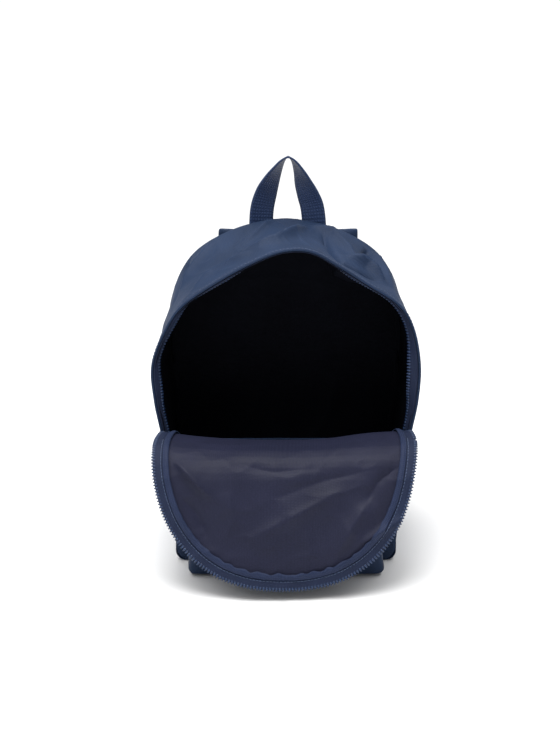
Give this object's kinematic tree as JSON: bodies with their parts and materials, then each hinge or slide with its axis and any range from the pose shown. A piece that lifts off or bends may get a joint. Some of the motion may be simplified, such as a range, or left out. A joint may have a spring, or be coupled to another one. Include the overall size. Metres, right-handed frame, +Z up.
{
  "type": "school backpack",
  "caption": "Arch-top fabric school backpack with a wrap-round zip, its front panel folded down and open, front pocket, grab handle and padded straps.",
  "frame": {"origin": "centre of the underside of the base, between the back seam and the front rim", "axes": "+Z up; the front faces -Y; +X is on the right of someone who looks at the front"},
  "size_m": [0.306, 0.3087, 0.4552],
  "materials": {
    "outer_fabric": "dull woven polyester, PU-coated behind",
    "lining_fabric": "thin plain-woven lining, slight sheen",
    "padding_foam": "closed-cell foam",
    "binding_tape": "folded grosgrain binding",
    "webbing": "ribbed polypropylene webbing",
    "zip_tape": "twill zip tape",
    "zip_teeth": "moulded or coiled nylon, satin",
    "zip_metal": "black-painted die casting",
    "buckle_plastic": "moulded acetal, satin"
  },
  "bodies": {
    "bag": {"side_gusset": "outer_fabric", "base_panel": "outer_fabric", "back_panel": "outer_fabric", "back_foam": "padding_foam", "back_lining": "lining_fabric", "body_lining": "lining_fabric", "back_seam_binding": "binding_tape", "lower_front_panel": "outer_fabric", "lower_front_lining": "lining_fabric", "front_seam_binding": "binding_tape", "rim_zip_tape": "zip_tape", "rim_zip_teeth": "zip_teeth", "pocket_panel": "outer_fabric", "pocket_zip_tape": "zip_tape", "pocket_zip_teeth": "zip_teeth", "zip_leg_tape": "zip_tape", "zip_leg_teeth": "zip_teeth", "zip_end_tabs": "binding_tape", "handle_ends": "webbing", "strap_yoke": "outer_fabric", "left_strap_anchor": "outer_fabric", "right_strap_anchor": "outer_fabric"},
    "flap_root": {"flap_root_panel": "outer_fabric", "flap_root_lining": "lining_fabric", "flap_root_seam_binding": "binding_tape", "flap_root_zip_tape": "zip_tape", "flap_root_zip_teeth": "zip_teeth"},
    "front_flap": {"flap_panel": "outer_fabric", "flap_lining": "lining_fabric", "flap_seam_binding": "binding_tape", "flap_zip_tape": "zip_tape", "flap_zip_teeth": "zip_teeth"},
    "handle": {"grab_handle": "webbing"},
    "left_strap": {"left_strap_cover": "outer_fabric", "left_strap_foam": "padding_foam", "left_strap_end_loop": "webbing", "left_lower_webbing": "webbing"},
    "right_strap": {"right_strap_cover": "outer_fabric", "right_strap_foam": "padding_foam", "right_strap_end_loop": "webbing", "right_lower_webbing": "webbing"},
    "left_adjuster": {"left_ladder_lock": "buckle_plastic", "left_webbing_tail": "webbing"},
    "right_adjuster": {"right_ladder_lock": "buckle_plastic", "right_webbing_tail": "webbing"},
    "left_zip_slider": {"left_slider": "zip_metal"},
    "right_zip_slider": {"right_slider": "zip_metal"},
    "left_zip_pull": {"left_pull": "zip_metal"},
    "right_zip_pull": {"right_pull": "zip_metal"},
    "pocket_zip_slider": {"pocket_slider": "zip_metal"},
    "pocket_zip_pull": {"pocket_pull": "zip_metal"}
  },
  "joints": [
    {"name": "flap_fold", "type": "hinge", "parent": "bag", "child": "flap_root", "pos_m": [0, -0.0825, 0.152], "axis": [-1, 0, 0], "range_deg": [0, 94]},
    {"name": "flap_crease", "type": "hinge", "parent": "flap_root", "child": "front_flap", "pos_m": [0, -0.14235, 0.14782], "axis": [-1, 0, 0], "range_deg": [0, 67.1]},
    {"name": "handle_flop", "type": "hinge", "parent": "bag", "child": "handle", "pos_m": [0, 0.0789, 0.381], "axis": [1, 0, 0], "range_deg": [-90, 70]},
    {"name": "left_strap_swing", "type": "hinge", "parent": "bag", "child": "left_strap", "pos_m": [-0.054, 0.0859, 0.316], "axis": [1, 0, 0], "range_deg": [0, 35], "deforming": ["left_lower_webbing"]},
    {"name": "left_adjuster_tilt", "type": "hinge", "parent": "left_strap", "child": "left_adjuster", "pos_m": [-0.0914, 0.1019, 0.1399], "axis": [1, 0, 0], "range_deg": [0, 40]},
    {"name": "left_slider_slide", "type": "slide", "parent": "bag", "child": "left_zip_slider", "axis": [0, 0, 1], "range_m": [0, 0.014]},
    {"name": "left_pull_flip", "type": "hinge", "parent": "left_zip_slider", "child": "left_zip_pull", "pos_m": [-0.131, -0.0862, 0.124], "axis": [-1, 0, 0], "range_deg": [0, 100]},
    {"name": "right_strap_swing", "type": "hinge", "parent": "bag", "child": "right_strap", "pos_m": [0.054, 0.0859, 0.316], "axis": [1, 0, 0], "range_deg": [0, 35], "deforming": ["right_lower_webbing"]},
    {"name": "right_adjuster_tilt", "type": "hinge", "parent": "right_strap", "child": "right_adjuster", "pos_m": [0.0914, 0.1019, 0.1399], "axis": [1, 0, 0], "range_deg": [0, 40]},
    {"name": "right_slider_slide", "type": "slide", "parent": "bag", "child": "right_zip_slider", "axis": [0, 0, 1], "range_m": [0, 0.014]},
    {"name": "right_pull_flip", "type": "hinge", "parent": "right_zip_slider", "child": "right_zip_pull", "pos_m": [0.131, -0.0862, 0.124], "axis": [-1, 0, 0], "range_deg": [0, 100]},
    {"name": "pocket_slider_slide", "type": "slide", "parent": "bag", "child": "pocket_zip_slider", "axis": [-1, 0, 0], "range_m": [0, 0.164]},
    {"name": "pocket_pull_swing", "type": "hinge", "parent": "pocket_zip_slider", "child": "pocket_zip_pull", "pos_m": [0.082, -0.1355, 0.104], "axis": [0, 1, 0], "range_deg": [-60, 60]}
  ],
  "couplings": [
    {"joint": "flap_crease", "follows": "flap_fold", "ratio": 0.7138}
  ]
}
